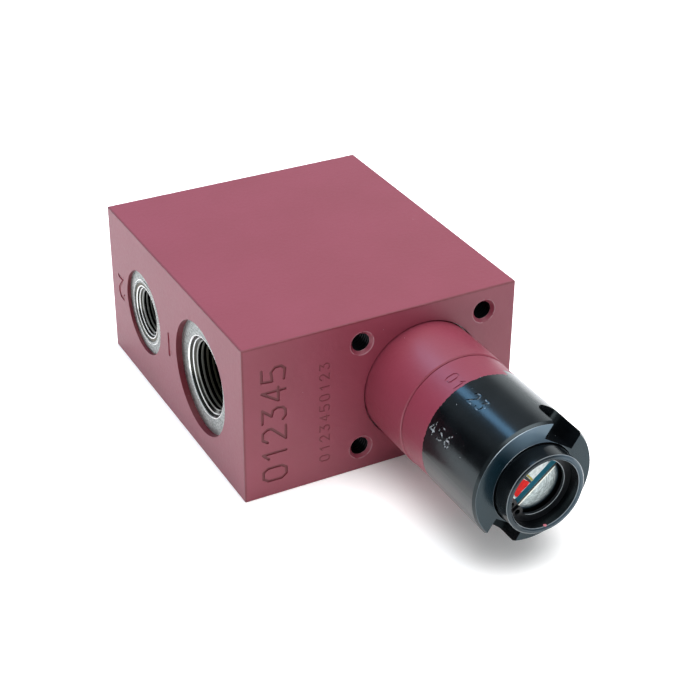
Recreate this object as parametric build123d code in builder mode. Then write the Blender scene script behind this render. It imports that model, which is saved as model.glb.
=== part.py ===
from build123d import *
from math import atan2, cos, degrees, hypot, radians, sin, tan
import os

# Flow control valve: a pressure compensated, screw adjusted flow regulator
# cartridge in a ported manifold block. All sizes are in millimetres.
# The origin is the middle of the block's underside. +X runs to the block's
# right, +Y runs from the cartridge face to the back and +Z is up.

# block
BLOCK_WIDTH = 105.0
BLOCK_LENGTH = 120.0
BLOCK_HEIGHT = 60.0
EDGE_ROUND = 0.3
PORT_HEIGHT = 30.0

# cartridge axis, parallel to Y; stations are distances behind the front face
AXIS_X = 16.0
AXIS_Z = 30.0
FACE_Y = -BLOCK_LENGTH / 2
CARTRIDGE = (AXIS_X, FACE_Y, AXIS_Z)
CARTRIDGE_AXIS = Axis(CARTRIDGE, (0, 1, 0))

# large ports T, P and A, tapped M27x2, and the gauge port M, tapped M18x1.5
TANK_Y = -24.0
OUTLET_Y = 2.0
GAUGE_Y = 28.0
INLET_X = 8.0
PORT_SPOT_R = 21.1
PORT_SPOT_DEEP = 2.2
PORT_SEAL_R = 14.9
PORT_MINOR_R = 12.417
PORT_MAJOR_R = 13.5
PORT_PITCH = 2.0
PORT_DRILL_R = 9.5
GAUGE_SPOT_R = 16.2
GAUGE_SPOT_DEEP = 1.3
GAUGE_SEAL_R = 9.9
GAUGE_MINOR_R = 8.188
GAUGE_MAJOR_R = 9.0
GAUGE_PITCH = 1.5
GAUGE_DRILL_R = 3.0

# four M8 holes around the cartridge
BOLT_SPACING_X = 48.0
BOLT_SPACING_Z = 42.0
BOLT_MINOR_R = 3.3235
BOLT_MAJOR_R = 4.0
BOLT_PITCH = 1.25
BOLT_CHAMFER_R = 4.5

# cartridge body, screwed into the block with an M40x1.5 thread
COUNTERBORE_R = 23.0
COUNTERBORE_DEEP = 2.5
HEAD_R = 22.5
HEAD_FRONT = -24.3
BODY_PITCH = 1.5
BODY_MINOR_R = 19.188
BODY_MAJOR_R = 20.0
SEAL_BORE_R = 18.0
CAGE_BORE_R = 15.0
NOSE_BORE_R = 11.0
SPOOL_BORE_R = 11.0

# adjuster sleeve and guide bush
SLEEVE_FRONT = -70.0
SLEEVE_R = 22.1
SLOT_WIDTH = 13.0
SLOT_LENGTH = 12.0
SLOT_CORNER_R = 4.5
SLOT_FLOOR = 15.0
SLOT_ANGLES = (56.5, 238.0)
BUSH_FRONT = -77.3
BUSH_R = 14.5
BUSH_BORE_R = 12.5

# adjusting screw, M16x1.5
SCREW_FRONT = -69.8
SCREW_HEAD_R = 12.4
SCREW_CREST_R = 7.95
SCREW_ROOT_R = 7.08
SCREW_PITCH = 1.5
DRIVE_WIDTH = 2.2
DRIVE_DEEP = 2.6
DRIVE_ANGLE = 40.0

# internal retaining ring of the screw, 25 x 1.2
CLIP_START = -72.3
CLIP_THICK = 1.2
CLIP_OUTER_R = 13.0
CLIP_INNER_R = 10.0
CLIP_GAP_ANGLE = 214.0

# marks stamped in the faces
STAMP_DEEP = 0.3
SMALL_STAMP_DEEP = 0.12
STAMP_STROKE = 1.0
SMALL_STAMP_STROKE = 0.45
PORT_STAMP_STROKE = 1.5

STROKES = {
    "0": (
        (0, 0.2), (0, 0.8), (0.15, 1), (0.45, 1), (0.6, 0.8), (0.6, 0.2), (0.45, 0),
        (0.15, 0), (0, 0.2),
    ),
    "1": ((0.12, 0.76), (0.36, 1), (0.36, 0)),
    "2": ((0, 0.8), (0.15, 1), (0.45, 1), (0.6, 0.8), (0.6, 0.62), (0, 0), (0.6, 0)),
    "3": (
        (0, 1), (0.6, 1), (0.25, 0.6), (0.5, 0.55), (0.6, 0.35), (0.55, 0.1), (0.4, 0),
        (0.15, 0), (0, 0.12),
    ),
    "4": ((0.45, 0), (0.45, 1), (0, 0.3), (0.6, 0.3)),
    "5": ((0.55, 1), (0.05, 1), (0, 0.55), (0.4, 0.6), (0.6, 0.42), (0.6, 0.15), (0.45, 0), (0, 0.05)),
    "6": (
        (0.5, 1), (0.1, 0.65), (0, 0.3), (0.15, 0), (0.45, 0), (0.6, 0.25), (0.45, 0.52),
        (0.05, 0.45),
    ),
    "'": ((0.3, 0.94), (0.3, 1)),
}


def turn(mouth, inward, outline, mode=Mode.ADD):
    """Revolve a closed outline of (radius, depth) corners about the line from the mouth inwards."""
    plane = Plane(origin=mouth, x_dir=inward, z_dir=(0, 0, 1))
    with BuildSketch(plane) as half:
        with BuildLine():
            Polyline(*[(depth, radius) for radius, depth in outline], close=True)
        make_face()
    revolve(half.sketch, axis=Axis(mouth, inward), mode=mode)


def turned(outline, mode=Mode.ADD):
    """Revolve a closed outline of (radius, station) corners about the cartridge axis."""
    turn(CARTRIDGE, (0, 1, 0), outline, mode)


def thread_wall(land, tip, pitch, first, count, tip_width):
    """Corners of a thread wall: a land radius between 60 degree forms that reach the tip radius."""
    half_tip = tip_width / 2
    half_foot = half_tip + abs(tip - land) * tan(radians(30))
    wall = []
    for n in range(count):
        middle = first + n * pitch
        wall.append((land, middle - half_foot))
        wall.append((tip, middle - half_tip))
        wall.append((tip, middle + half_tip))
        wall.append((land, middle + half_foot))
    return wall


def seal_ring(inner, outer, start, end, corner):
    """Turn a ring with a rounded section about the cartridge axis."""
    with BuildSketch(Plane.XY.offset(AXIS_Z)) as section:
        with Locations((AXIS_X + (inner + outer) / 2, FACE_Y + (start + end) / 2)):
            RectangleRounded(outer - inner, end - start, corner)
    revolve(section.sketch, axis=CARTRIDGE_AXIS)


def radial_plane(angle, height):
    """Plane facing out at an angle about the cartridge axis, its local x along the stations."""
    out = (cos(radians(angle)), 0, sin(radians(angle)))
    return Plane(origin=CARTRIDGE, x_dir=(0, 1, 0), z_dir=out).offset(height)


def cross_holes(station, radius, angles):
    """Drill straight through the cartridge axis at each of the angles."""
    for angle in angles:
        with BuildSketch(radial_plane(angle, 0)) as hole:
            with Locations((station, 0)):
                Circle(radius)
        extrude(hole.sketch, amount=30, both=True, mode=Mode.SUBTRACT)


def stamp(plane, digits, height, pitch, stroke, deep):
    """Sink a row of digits, centred on the plane, that reads along its local x."""
    with BuildSketch(plane) as row:
        for place, digit in enumerate(digits):
            left = (place - (len(digits) - 1) / 2) * pitch - 0.3 * height
            points = [(left + u * height, (v - 0.5) * height) for u, v in STROKES[digit]]
            for a, b in zip(points, points[1:]):
                with Locations(((a[0] + b[0]) / 2, (a[1] + b[1]) / 2)):
                    SlotCenterToCenter(
                        hypot(b[0] - a[0], b[1] - a[1]),
                        stroke,
                        rotation=degrees(atan2(b[1] - a[1], b[0] - a[0])),
                    )
    extrude(row.sketch, amount=-deep, mode=Mode.SUBTRACT)


def large_port(mouth, inward, thread_count, thread_end, drill_end):
    """Spotface, seal cone, M27x2 thread and drilling of a large port."""
    seal_foot = PORT_SPOT_DEEP + 1.4
    wall = thread_wall(PORT_MINOR_R, PORT_MAJOR_R, PORT_PITCH, 5.6, thread_count, PORT_PITCH / 8)
    outline = [
        (0, -1),
        (PORT_SPOT_R, -1),
        (PORT_SPOT_R, PORT_SPOT_DEEP),
        (PORT_SEAL_R, PORT_SPOT_DEEP),
        (PORT_SEAL_R - 1.1, seal_foot),
        (PORT_MINOR_R, seal_foot + 1.1),
        *wall,
        (PORT_MINOR_R, thread_end),
        (PORT_DRILL_R, thread_end + 1.7),
        (PORT_DRILL_R, drill_end),
        (0, drill_end),
    ]
    turn(mouth, inward, outline, Mode.SUBTRACT)


# ---------------------------------------------------------------- valve block
with BuildPart() as valve_block:
    with BuildSketch(Plane.XY):
        Rectangle(BLOCK_WIDTH, BLOCK_LENGTH)
    extrude(amount=BLOCK_HEIGHT)
    fillet(valve_block.edges(), radius=EDGE_ROUND)

    # stepped main bore: head counterbore, M40x1.5, seal bore, cage bore, nose bore
    turned(
        [
            (0, -1),
            (COUNTERBORE_R, -1),
            (COUNTERBORE_R, COUNTERBORE_DEEP),
            (20.3, COUNTERBORE_DEEP),
            (BODY_MINOR_R, 3.6),
            *thread_wall(BODY_MINOR_R, BODY_MAJOR_R, BODY_PITCH, 4.75, 8, BODY_PITCH / 8),
            (BODY_MINOR_R, 16.2),
            (20.1, 16.2),
            (20.1, 17.6),
            (18.8, 17.6),
            (SEAL_BORE_R, 18.8),
            (SEAL_BORE_R, 26.0),
            (15.6, 26.0),
            (CAGE_BORE_R, 26.6),
            (CAGE_BORE_R, 84.0),
            (NOSE_BORE_R, 84.0),
            (NOSE_BORE_R, 94.0),
            (0, 94.0),
        ],
        Mode.SUBTRACT,
    )

    # T port in the left face, A port in the right face, P port in the back face
    large_port((-BLOCK_WIDTH / 2, TANK_Y, PORT_HEIGHT), (1, 0, 0), 9, 24.0, 60.0)
    large_port((BLOCK_WIDTH / 2, OUTLET_Y, PORT_HEIGHT), (-1, 0, 0), 6, 18.5, 29.0)
    large_port((INLET_X, BLOCK_LENGTH / 2, PORT_HEIGHT), (0, -1, 0), 9, 24.0, 34.0)

    # gauge port M in the left face, with the raised ridge that marks a metric port
    turn(
        (-BLOCK_WIDTH / 2, GAUGE_Y, PORT_HEIGHT),
        (1, 0, 0),
        [
            (0, -1),
            (GAUGE_SPOT_R, -1),
            (GAUGE_SPOT_R, GAUGE_SPOT_DEEP),
            (12.4, GAUGE_SPOT_DEEP),
            (12.4, GAUGE_SPOT_DEEP - 0.3),
            (11.5, GAUGE_SPOT_DEEP - 0.3),
            (11.5, GAUGE_SPOT_DEEP),
            (GAUGE_SEAL_R, GAUGE_SPOT_DEEP),
            (9.2, 2.3),
            (GAUGE_MINOR_R, 3.2),
            *thread_wall(GAUGE_MINOR_R, GAUGE_MAJOR_R, GAUGE_PITCH, 4.1, 10, GAUGE_PITCH / 8),
            (GAUGE_MINOR_R, 19.0),
            (GAUGE_DRILL_R, 22.0),
            (GAUGE_DRILL_R, 60.0),
            (0, 60.0),
        ],
        Mode.SUBTRACT,
    )

    # M8 holes around the cartridge
    for side in (-1, 1):
        for level in (-1, 1):
            turn(
                (AXIS_X + side * BOLT_SPACING_X / 2, FACE_Y, AXIS_Z + level * BOLT_SPACING_Z / 2),
                (0, 1, 0),
                [
                    (0, -1),
                    (BOLT_CHAMFER_R + 1, -1),
                    (BOLT_MINOR_R, BOLT_CHAMFER_R - BOLT_MINOR_R),
                    *thread_wall(BOLT_MINOR_R, BOLT_MAJOR_R, BOLT_PITCH, 1.9, 13, BOLT_PITCH / 8),
                    (BOLT_MINOR_R, 20.0),
                    (0, 22.0),
                ],
                Mode.SUBTRACT,
            )

    # stamped digits: a large and a small row up the front face, one digit by each left port
    stamp(
        Plane(origin=(-41.2, FACE_Y, 28.5), x_dir=(0, 0, 1), z_dir=(0, -1, 0)),
        "012345", 8.6, 7.9, STAMP_STROKE, STAMP_DEEP,
    )
    stamp(
        Plane(origin=(-22.2, FACE_Y, 27.5), x_dir=(0, 0, 1), z_dir=(0, -1, 0)),
        "0123450123", 3.6, 4.1, SMALL_STAMP_STROKE, SMALL_STAMP_DEEP,
    )
    stamp(
        Plane(origin=(-BLOCK_WIDTH / 2, 3.3, 29.2), x_dir=(0, 1, 0), z_dir=(-1, 0, 0)),
        "1", 8.4, 6.0, PORT_STAMP_STROKE, STAMP_DEEP,
    )
    stamp(
        Plane(origin=(-BLOCK_WIDTH / 2, 50.0, 30.0), x_dir=(0, 1, 0), z_dir=(-1, 0, 0)),
        "2", 8.4, 6.0, PORT_STAMP_STROKE, STAMP_DEEP,
    )
valve_block.part.label = "valve_block"
export_step(valve_block.part, "parts/valve_block.step")

# ------------------------------------------------------------- cartridge body
with BuildPart() as cartridge_body:
    turned(
        [
            (9.6, -46.0),
            (17.7, -46.0),
            (18.08, -45.6),
            *thread_wall(18.08, 18.92, BODY_PITCH, -44.5, 10, 0.18),
            (18.08, HEAD_FRONT),
            (HEAD_R - 0.4, HEAD_FRONT),
            (HEAD_R, HEAD_FRONT + 0.4),
            (HEAD_R, 2.1),
            (HEAD_R - 0.4, COUNTERBORE_DEEP),
            (18.9, COUNTERBORE_DEEP),
            (18.9, 3.9),
            *thread_wall(19.08, 19.92, BODY_PITCH, 4.75, 8, 0.18),
            (19.08, 16.2),
            (17.9, 17.4),
            (17.9, 19.6),
            (15.5, 19.6),
            (15.5, 24.4),
            (17.9, 24.4),
            (17.9, 25.4),
            (17.5, 25.8),
            (13.0, 25.8),
            (13.0, 21.0),
            (SPOOL_BORE_R, 21.0),
            (SPOOL_BORE_R, -9.0),
            (9.6, -9.0),
        ]
    )
    # radial hole for the anti-rotation pin
    with BuildSketch(Plane.XY.offset(AXIS_Z)):
        with Locations((AXIS_X, FACE_Y - 26.0)):
            Circle(1.5)
    extrude(amount=20, mode=Mode.SUBTRACT)
cartridge_body.part.label = "cartridge_body"
export_step(cartridge_body.part, "parts/cartridge_body.step")

with BuildPart() as body_backup_ring:
    seal_ring(15.55, 17.95, 19.7, 21.1, 0.15)
body_backup_ring.part.label = "body_backup_ring"
export_step(body_backup_ring.part, "parts/body_backup_ring.step")

with BuildPart() as body_o_ring:
    seal_ring(15.53, 17.97, 21.2, 24.2, 1.1)
body_o_ring.part.label = "body_o_ring"
export_step(body_o_ring.part, "parts/body_o_ring.step")

with BuildPart() as anti_rotation_pin:
    with BuildSketch(Plane.XY.offset(AXIS_Z + 7.8)):
        with Locations((AXIS_X, FACE_Y - 26.0)):
            Circle(1.49)
    extrude(amount=10.2)
    chamfer(anti_rotation_pin.edges(), length=0.25)
anti_rotation_pin.part.label = "anti_rotation_pin"
export_step(anti_rotation_pin.part, "parts/anti_rotation_pin.step")

# ------------------------------------------------------------ adjuster sleeve
with BuildPart() as adjuster_sleeve:
    turned(
        [
            (SLEEVE_R - 0.4, HEAD_FRONT),
            (SLEEVE_R, HEAD_FRONT - 0.4),
            (SLEEVE_R, SLEEVE_FRONT + 1.2),
            (SLEEVE_R - 0.6, SLEEVE_FRONT),
            (BUSH_R + 0.5, SLEEVE_FRONT),
            (BUSH_R + 0.1, SLEEVE_FRONT + 0.4),
            (BUSH_R + 0.1, -58.0),
            (18.0, -58.0),
            (18.0, -46.0),
            (18.188, -45.6),
            *thread_wall(18.188, 19.0, BODY_PITCH, -44.5, 10, BODY_PITCH / 8),
            (18.188, -29.4),
            (19.1, -28.6),
            (19.1, HEAD_FRONT),
        ]
    )
    # two claw slots, open at the front, with a flat floor and rounded inner corners
    for angle in SLOT_ANGLES:
        with BuildSketch(radial_plane(angle, SLOT_FLOOR)) as claw:
            with Locations((SLEEVE_FRONT, 0)):
                RectangleRounded(2 * SLOT_LENGTH, SLOT_WIDTH, SLOT_CORNER_R)
        extrude(claw.sketch, amount=12, mode=Mode.SUBTRACT)
    # two rows of digits stamped along the sleeve
    for angle, station, digits in ((111.5, -41.1, "01'23"), (153.5, -45.0, "456")):
        row_plane = radial_plane(angle, SLEEVE_R)
        row_plane = Plane(
            origin=row_plane.origin + Vector(0, station, 0),
            x_dir=(0, -1, 0),
            z_dir=row_plane.z_dir,
        )
        stamp(row_plane, digits, 4.3, 4.55, 0.6, 0.3)
adjuster_sleeve.part.label = "adjuster_sleeve"
export_step(adjuster_sleeve.part, "parts/adjuster_sleeve.step")

# ----------------------------------------------------------------- guide bush
with BuildPart() as guide_bush:
    turned(
        [
            (BUSH_BORE_R + 0.6, BUSH_FRONT),
            (BUSH_R - 0.6, BUSH_FRONT),
            (BUSH_R, BUSH_FRONT + 0.6),
            (BUSH_R, -58.0),
            (17.9, -58.0),
            (17.9, -54.0),
            (15.8, -54.0),
            (15.8, -50.4),
            (17.9, -50.4),
            (17.9, -46.0),
            (8.65, -46.0),
            (8.05, -46.6),
            (8.05, -56.8),
            (8.65, -57.4),
            (BUSH_BORE_R, -57.4),
            (BUSH_BORE_R, -71.05),
            (13.1, -71.05),
            (13.1, -72.35),
            (BUSH_BORE_R, -72.35),
            (BUSH_BORE_R, BUSH_FRONT + 0.6),
        ]
    )
guide_bush.part.label = "guide_bush"
export_step(guide_bush.part, "parts/guide_bush.step")

with BuildPart() as bush_o_ring:
    seal_ring(15.84, 17.97, -53.6, -50.8, 1.0)
bush_o_ring.part.label = "bush_o_ring"
export_step(bush_o_ring.part, "parts/bush_o_ring.step")

# ------------------------------------------------------------ adjusting screw
with BuildPart() as adjusting_screw:
    turned(
        [
            (0, SCREW_FRONT),
            (SCREW_HEAD_R - 0.7, SCREW_FRONT),
            (SCREW_HEAD_R - 0.2, SCREW_FRONT + 0.2),
            (SCREW_HEAD_R, SCREW_FRONT + 0.7),
            (SCREW_HEAD_R, -66.9),
            (10.4, -66.9),
            (10.4, -63.5),
            (SCREW_HEAD_R, -63.5),
            (SCREW_HEAD_R, -62.5),
            (7.3, -62.5),
            (7.08, -61.2),
            *thread_wall(SCREW_ROOT_R, SCREW_CREST_R, SCREW_PITCH, -59.9, 14, 0.18),
            (SCREW_ROOT_R, -39.0),
            (6.4, -38.2),
            (4.0, -38.2),
            (4.0, -34.6),
            (6.0, -34.6),
            (6.0, -31.0),
            (0, -31.0),
        ]
    )
    # screwdriver slot across the head
    with BuildSketch(Plane.XZ.offset(-(FACE_Y + SCREW_FRONT))) as drive:
        with Locations((AXIS_X, AXIS_Z)):
            Rectangle(30, DRIVE_WIDTH, rotation=DRIVE_ANGLE)
    extrude(drive.sketch, amount=-DRIVE_DEEP, mode=Mode.SUBTRACT)
adjusting_screw.part.label = "adjusting_screw"
export_step(adjusting_screw.part, "parts/adjusting_screw.step")

with BuildPart() as screw_backup_ring:
    seal_ring(10.45, 12.45, -66.8, -65.6, 0.15)
screw_backup_ring.part.label = "screw_backup_ring"
export_step(screw_backup_ring.part, "parts/screw_backup_ring.step")

with BuildPart() as screw_o_ring:
    seal_ring(10.43, 12.46, -65.5, -63.6, 0.85)
screw_o_ring.part.label = "screw_o_ring"
export_step(screw_o_ring.part, "parts/screw_o_ring.step")

with BuildPart() as screw_retaining_ring:
    with BuildSketch(Plane.XZ.offset(-(FACE_Y + CLIP_START + CLIP_THICK))):
        with Locations((AXIS_X, AXIS_Z)):
            Circle(CLIP_OUTER_R)
            Circle(CLIP_INNER_R, mode=Mode.SUBTRACT)
        for side in (-1, 1):
            swing = radians(CLIP_GAP_ANGLE + 12 * side)
            with Locations((AXIS_X + 10.3 * cos(swing), AXIS_Z + 10.3 * sin(swing))):
                Circle(2.1)
        gap = radians(CLIP_GAP_ANGLE)
        with Locations((AXIS_X + 11 * cos(gap), AXIS_Z + 11 * sin(gap))):
            Rectangle(8, 1.6, rotation=CLIP_GAP_ANGLE, mode=Mode.SUBTRACT)
        for side in (-1, 1):
            swing = radians(CLIP_GAP_ANGLE + 12 * side)
            with Locations((AXIS_X + 10.2 * cos(swing), AXIS_Z + 10.2 * sin(swing))):
                Circle(1.0, mode=Mode.SUBTRACT)
    extrude(amount=CLIP_THICK)
screw_retaining_ring.part.label = "screw_retaining_ring"
export_step(screw_retaining_ring.part, "parts/screw_retaining_ring.step")

# -------------------------------------------------------------- throttle stem
with BuildPart() as throttle_stem:
    turned(
        [
            (6.2, -37.2),
            (9.1, -37.2),
            (9.5, -36.8),
            (9.5, -20.4),
            (9.1, -20.0),
            (4.0, -20.0),
            (4.0, 55.0),
            (2.95, 55.0),
            (2.95, 59.7),
            (2.39, 59.95),
            *thread_wall(2.39, 2.93, 1.0, 60.8, 5, 0.12),
            (2.39, 65.4),
            (0, 65.4),
            (0, -30.8),
            (6.2, -30.8),
            (6.2, -34.75),
            (6.9, -34.75),
            (6.9, -36.05),
            (6.2, -36.05),
        ]
    )
    # keyway for the anti-rotation pin
    with BuildSketch(Plane.XY.offset(AXIS_Z + 7.5)):
        with Locations((AXIS_X, FACE_Y - 25.5)):
            Rectangle(3.1, 15.0)
    extrude(amount=4, mode=Mode.SUBTRACT)
throttle_stem.part.label = "throttle_stem"
export_step(throttle_stem.part, "parts/throttle_stem.step")

with BuildPart() as coupling_ring:
    with BuildSketch(Plane.XZ.offset(-(FACE_Y - 34.8))):
        with Locations((AXIS_X, AXIS_Z)):
            Circle(6.85)
            Circle(4.3, mode=Mode.SUBTRACT)
        with Locations((AXIS_X, AXIS_Z - 5.6)):
            Rectangle(2.4, 4.0, mode=Mode.SUBTRACT)
    extrude(amount=1.2)
coupling_ring.part.label = "coupling_ring"
export_step(coupling_ring.part, "parts/coupling_ring.step")

# -------------------------------------------------------------- throttle head
with BuildPart() as throttle_head:
    turned(
        [
            (3.0, 55.0),
            (10.5, 55.0),
            (10.9, 55.4),
            (10.9, 75.6),
            (10.5, 76.0),
            (9.2, 76.0),
            (8.9, 75.7),
            (8.9, 60.0),
            (3.0, 60.0),
        ]
    )
    # axial balance holes through the web
    with BuildSketch(Plane.XZ.offset(-(FACE_Y + 54.0))):
        with Locations((AXIS_X, AXIS_Z)):
            with PolarLocations(7.2, 6):
                Circle(1.5)
    extrude(amount=-8, mode=Mode.SUBTRACT)
    # V-shaped metering notches through the wall
    for angle in (45, 135, 225, 315):
        with BuildSketch(radial_plane(angle, 8.0)) as notch:
            with BuildLine():
                Polyline((61.0, 0), (66.5, -3.0), (66.5, 3.0), close=True)
            make_face()
        extrude(notch.sketch, amount=5, mode=Mode.SUBTRACT)
throttle_head.part.label = "throttle_head"
export_step(throttle_head.part, "parts/throttle_head.step")

with BuildPart() as head_lock_nut:
    with BuildSketch(Plane.XZ.offset(-(FACE_Y + 60.02))):
        with Locations((AXIS_X, AXIS_Z)):
            RegularPolygon(5.0, 6, major_radius=False)
    extrude(amount=-4.5)
    turned(
        [
            (0, 59.0),
            (2.459, 59.0),
            *thread_wall(2.459, 3.0, 1.0, 60.8, 5, 0.125),
            (2.459, 65.5),
            (0, 65.5),
        ],
        Mode.SUBTRACT,
    )
head_lock_nut.part.label = "head_lock_nut"
export_step(head_lock_nut.part, "parts/head_lock_nut.step")

# -------------------------------------------------------------- metering cage
with BuildPart() as metering_cage:
    turned(
        [
            (SPOOL_BORE_R, 21.1),
            (12.65, 21.1),
            (12.95, 21.4),
            (12.95, 25.9),
            (14.65, 25.9),
            (14.95, 26.2),
            (14.95, 30.0),
            (13.2, 30.0),
            (13.2, 42.0),
            (14.95, 42.0),
            (14.95, 46.8),
            (12.95, 46.8),
            (12.95, 51.2),
            (14.95, 51.2),
            (14.95, 56.0),
            (13.2, 56.0),
            (13.2, 68.0),
            (14.95, 68.0),
            (14.95, 74.0),
            (12.95, 74.0),
            (12.95, 78.4),
            (14.95, 78.4),
            (14.95, 83.4),
            (14.55, 83.8),
            (SPOOL_BORE_R, 83.8),
            (SPOOL_BORE_R, 41.75),
            (11.5, 41.75),
            (11.5, 40.55),
            (SPOOL_BORE_R, 40.55),
        ]
    )
    # tank windows, then outlet windows
    cross_holes(36.0, 4.0, (0, 60, 120))
    cross_holes(62.0, 4.5, (15, 75, 135))
metering_cage.part.label = "metering_cage"
export_step(metering_cage.part, "parts/metering_cage.step")

with BuildPart() as cage_backup_ring_tank:
    seal_ring(13.0, 14.95, 46.9, 48.2, 0.15)
cage_backup_ring_tank.part.label = "cage_backup_ring_tank"
export_step(cage_backup_ring_tank.part, "parts/cage_backup_ring_tank.step")

with BuildPart() as cage_o_ring_tank:
    seal_ring(12.98, 14.97, 48.3, 51.0, 0.9)
cage_o_ring_tank.part.label = "cage_o_ring_tank"
export_step(cage_o_ring_tank.part, "parts/cage_o_ring_tank.step")

with BuildPart() as cage_backup_ring_inlet:
    seal_ring(13.0, 14.95, 74.1, 75.4, 0.15)
cage_backup_ring_inlet.part.label = "cage_backup_ring_inlet"
export_step(cage_backup_ring_inlet.part, "parts/cage_backup_ring_inlet.step")

with BuildPart() as cage_o_ring_inlet:
    seal_ring(12.98, 14.97, 75.5, 78.2, 0.9)
cage_o_ring_inlet.part.label = "cage_o_ring_inlet"
export_step(cage_o_ring_inlet.part, "parts/cage_o_ring_inlet.step")

# ---------------------------------------------------- compensator and spring
with BuildPart() as compensator_spool:
    turned(
        [
            (4.05, 18.5),
            (10.55, 18.5),
            (10.95, 18.9),
            (10.95, 22.0),
            (10.6, 22.0),
            (10.6, 22.8),
            (10.95, 22.8),
            (10.95, 25.0),
            (10.6, 25.0),
            (10.6, 25.8),
            (10.95, 25.8),
            (10.95, 28.0),
            (10.6, 28.0),
            (10.6, 28.8),
            (10.95, 28.8),
            (10.95, 31.5),
            (9.6, 31.5),
            (9.6, 38.0),
            (10.95, 38.0),
            (10.95, 40.1),
            (10.55, 40.5),
            (8.2, 40.5),
            (8.2, 29.0),
            (4.05, 29.0),
        ]
    )
    cross_holes(34.8, 2.0, (0, 60, 120))
compensator_spool.part.label = "compensator_spool"
export_step(compensator_spool.part, "parts/compensator_spool.step")

with BuildPart() as spool_stop_ring:
    with BuildSketch(Plane.XZ.offset(-(FACE_Y + 41.68))):
        with Locations((AXIS_X, AXIS_Z)):
            Circle(11.45)
            Circle(9.4, mode=Mode.SUBTRACT)
        for swing in (-102, -78):
            with Locations((AXIS_X + 9.2 * cos(radians(swing)), AXIS_Z + 9.2 * sin(radians(swing)))):
                Circle(1.6)
        with Locations((AXIS_X, AXIS_Z - 9.5)):
            Rectangle(1.4, 6.0, mode=Mode.SUBTRACT)
        for swing in (-102, -78):
            with Locations((AXIS_X + 9.2 * cos(radians(swing)), AXIS_Z + 9.2 * sin(radians(swing)))):
                Circle(0.7, mode=Mode.SUBTRACT)
    extrude(amount=1.06)
spool_stop_ring.part.label = "spool_stop_ring"
export_step(spool_stop_ring.part, "parts/spool_stop_ring.step")

with BuildPart() as spring_seat:
    turned(
        [
            (4.6, -8.4),
            (10.8, -8.4),
            (10.8, -6.6),
            (6.5, -6.6),
            (6.5, -4.8),
            (6.2, -4.5),
            (4.6, -4.5),
        ]
    )
spring_seat.part.label = "spring_seat"
export_step(spring_seat.part, "parts/spring_seat.step")

with BuildPart() as adjusting_shim:
    turned([(8.0, -9.0), (10.7, -9.0), (10.7, -8.45), (8.0, -8.45)])
adjusting_shim.part.label = "adjusting_shim"
export_step(adjusting_shim.part, "parts/adjusting_shim.step")

with BuildPart() as compensator_spring:
    with BuildLine() as coil:
        Helix(
            pitch=3.05,
            height=24.3,
            radius=7.6,
            center=(AXIS_X, FACE_Y - 6.2, AXIS_Z),
            direction=(0, 1, 0),
        )
    with BuildSketch(Plane(origin=coil.line @ 0, z_dir=coil.line % 0)) as wire:
        Circle(0.9)
    sweep(wire.sketch, path=coil.line, is_frenet=True)
    # ends ground flat
    turned([(0, -12.0), (12.0, -12.0), (12.0, -6.5), (0, -6.5)], Mode.SUBTRACT)
    turned([(0, 18.4), (12.0, 18.4), (12.0, 24.0), (0, 24.0)], Mode.SUBTRACT)
compensator_spring.part.label = "compensator_spring"
export_step(compensator_spring.part, "parts/compensator_spring.step")
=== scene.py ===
"""Looks of the flow control valve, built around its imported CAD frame.

Frame: millimetres times MM; the origin is the middle of the block's underside,
and the cartridge points to -Y. A "station" is a distance behind the block's
front face, so a point of the cartridge at station s has y = FACE_Y + s.
"""

import math

import bmesh
import bpy
from mathutils import Matrix, Vector


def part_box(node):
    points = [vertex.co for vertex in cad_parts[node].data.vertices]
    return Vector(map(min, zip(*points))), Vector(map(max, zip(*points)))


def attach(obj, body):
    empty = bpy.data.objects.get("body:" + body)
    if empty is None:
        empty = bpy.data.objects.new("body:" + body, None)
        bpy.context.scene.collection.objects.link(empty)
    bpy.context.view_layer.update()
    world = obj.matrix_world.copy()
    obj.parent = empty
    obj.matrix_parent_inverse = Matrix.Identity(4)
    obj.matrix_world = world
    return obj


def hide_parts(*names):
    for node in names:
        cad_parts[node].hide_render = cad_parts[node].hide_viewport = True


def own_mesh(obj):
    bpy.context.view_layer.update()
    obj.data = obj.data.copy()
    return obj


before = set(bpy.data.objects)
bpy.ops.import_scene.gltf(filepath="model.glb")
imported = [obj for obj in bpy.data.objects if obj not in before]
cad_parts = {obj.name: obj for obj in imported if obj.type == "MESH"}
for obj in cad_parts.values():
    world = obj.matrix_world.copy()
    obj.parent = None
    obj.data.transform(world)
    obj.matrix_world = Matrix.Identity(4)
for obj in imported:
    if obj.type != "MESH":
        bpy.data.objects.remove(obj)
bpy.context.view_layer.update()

MM = 0.001

# the block: its faces, and the places of its holes in them
FACE_Y = -60.0
BLOCK_LEFT = -52.5
BLOCK_TOP = 60.0
TANK = (-24.0, 30.0)
GAUGE = (28.0, 30.0)
OUTLET = (2.0, 30.0)
INLET = (8.0, 30.0)
BOLT_SPREAD = (24.0, 21.0)
# bare from the spotface's wall in, and threaded from the seal seat in
SPOT_R, SEAT_R = 20.9, 14.9
GAUGE_SPOT_R, GAUGE_SEAT_R = 16.0, 10.0
BORE_R, BORE_THREAD_R = 22.7, 20.6

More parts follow.
